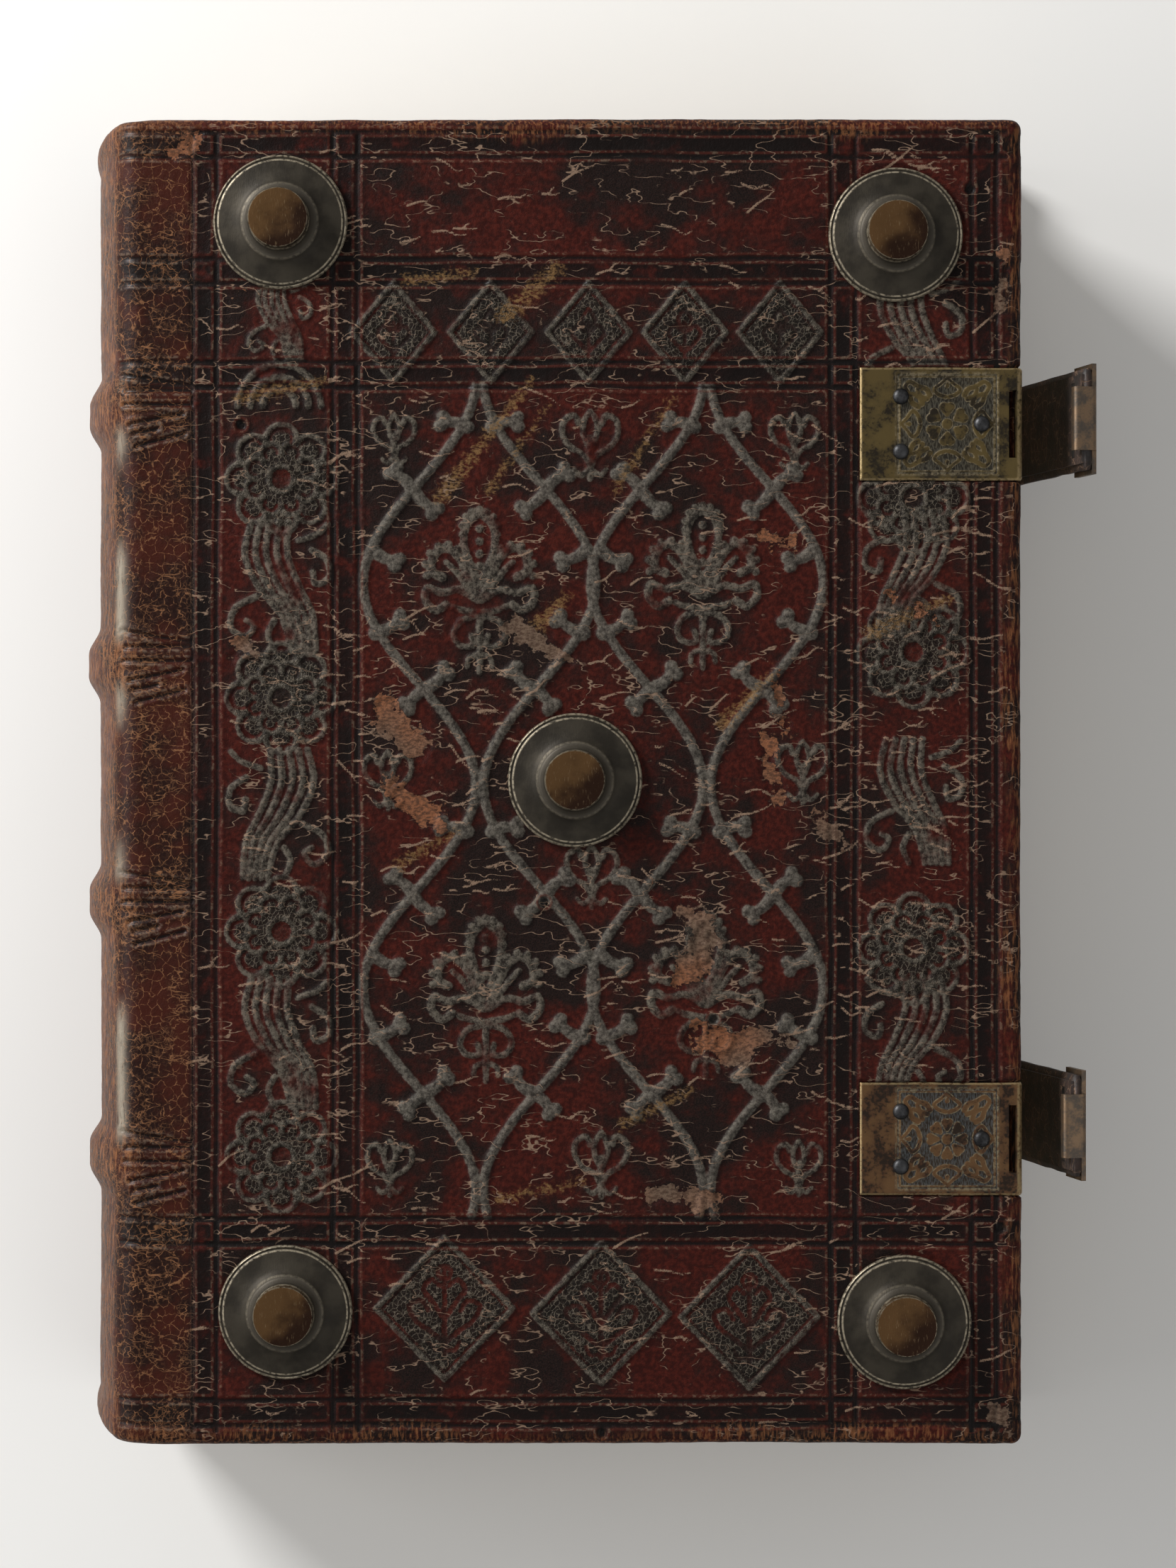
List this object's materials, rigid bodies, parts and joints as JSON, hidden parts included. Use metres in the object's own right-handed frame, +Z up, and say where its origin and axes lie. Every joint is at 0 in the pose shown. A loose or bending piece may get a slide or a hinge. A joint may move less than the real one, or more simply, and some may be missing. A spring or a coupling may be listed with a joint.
{
  "type": "antique leather book",
  "caption": "Folio bound in blind-tooled leather over wooden boards, with raised bands on the back, round metal bosses, brass catch plates and leather clasp straps; both covers open.",
  "frame": {"origin": "middle of the back cover's outer face, on which the book lies", "axes": "+X from the spine to the fore-edge, +Y from tail to head, +Z up through the front cover"},
  "size_m": [0.2455, 0.318, 0.077],
  "materials": {
    "board_wood": "matte",
    "cover_leather": "satin",
    "strap_leather": "satin",
    "pages": "matte",
    "cord": "matte",
    "boss_metal": "satin",
    "plate_brass": "satin"
  },
  "bodies": {
    "back_cover": {"back_board": "board_wood", "back_leather": "cover_leather", "back_pastedown": "pages", "back_slip_1": "cord", "back_slip_2": "cord", "back_slip_3": "cord", "back_slip_4": "cord", "back_pegs": "board_wood", "upper_strap_root": "strap_leather", "lower_strap_root": "strap_leather", "strap_nails": "plate_brass"},
    "text_block": {"text_block": "pages", "spine_leather": "cover_leather", "sewing_bands": "cord", "endbands": "cord"},
    "front_cover": {"front_board": "board_wood", "front_leather": "cover_leather", "front_pastedown": "pages", "front_slip_1": "cord", "front_slip_2": "cord", "front_slip_3": "cord", "front_slip_4": "cord", "front_pegs": "board_wood", "bosses": "boss_metal", "upper_catch_plate": "plate_brass", "lower_catch_plate": "plate_brass", "catch_rivets": "plate_brass"},
    "upper_strap": {"upper_strap": "strap_leather", "upper_strap_lining": "strap_leather", "upper_hook": "plate_brass", "upper_hook_rivets": "plate_brass"},
    "lower_strap": {"lower_strap": "strap_leather", "lower_strap_lining": "strap_leather", "lower_hook": "plate_brass", "lower_hook_rivets": "plate_brass"}
  },
  "joints": [
    {"name": "back_joint", "type": "hinge", "parent": "back_cover", "child": "text_block", "pos_m": [-0.1055, 0, -0.0001], "axis": [0, -1, 0], "range_deg": [0, 90]},
    {"name": "front_joint", "type": "hinge", "parent": "text_block", "child": "front_cover", "pos_m": [-0.1055, 0, 0.0681], "axis": [0, -1, 0], "range_deg": [0, 180]},
    {"name": "upper_strap_fold", "type": "hinge", "parent": "back_cover", "child": "upper_strap", "pos_m": [0.1069, 0.087, 0.006], "axis": [0, -1, 0], "range_deg": [-76, 9]},
    {"name": "lower_strap_fold", "type": "hinge", "parent": "back_cover", "child": "lower_strap", "pos_m": [0.1069, -0.0825, 0.006], "axis": [0, -1, 0], "range_deg": [-78, 7]}
  ]
}
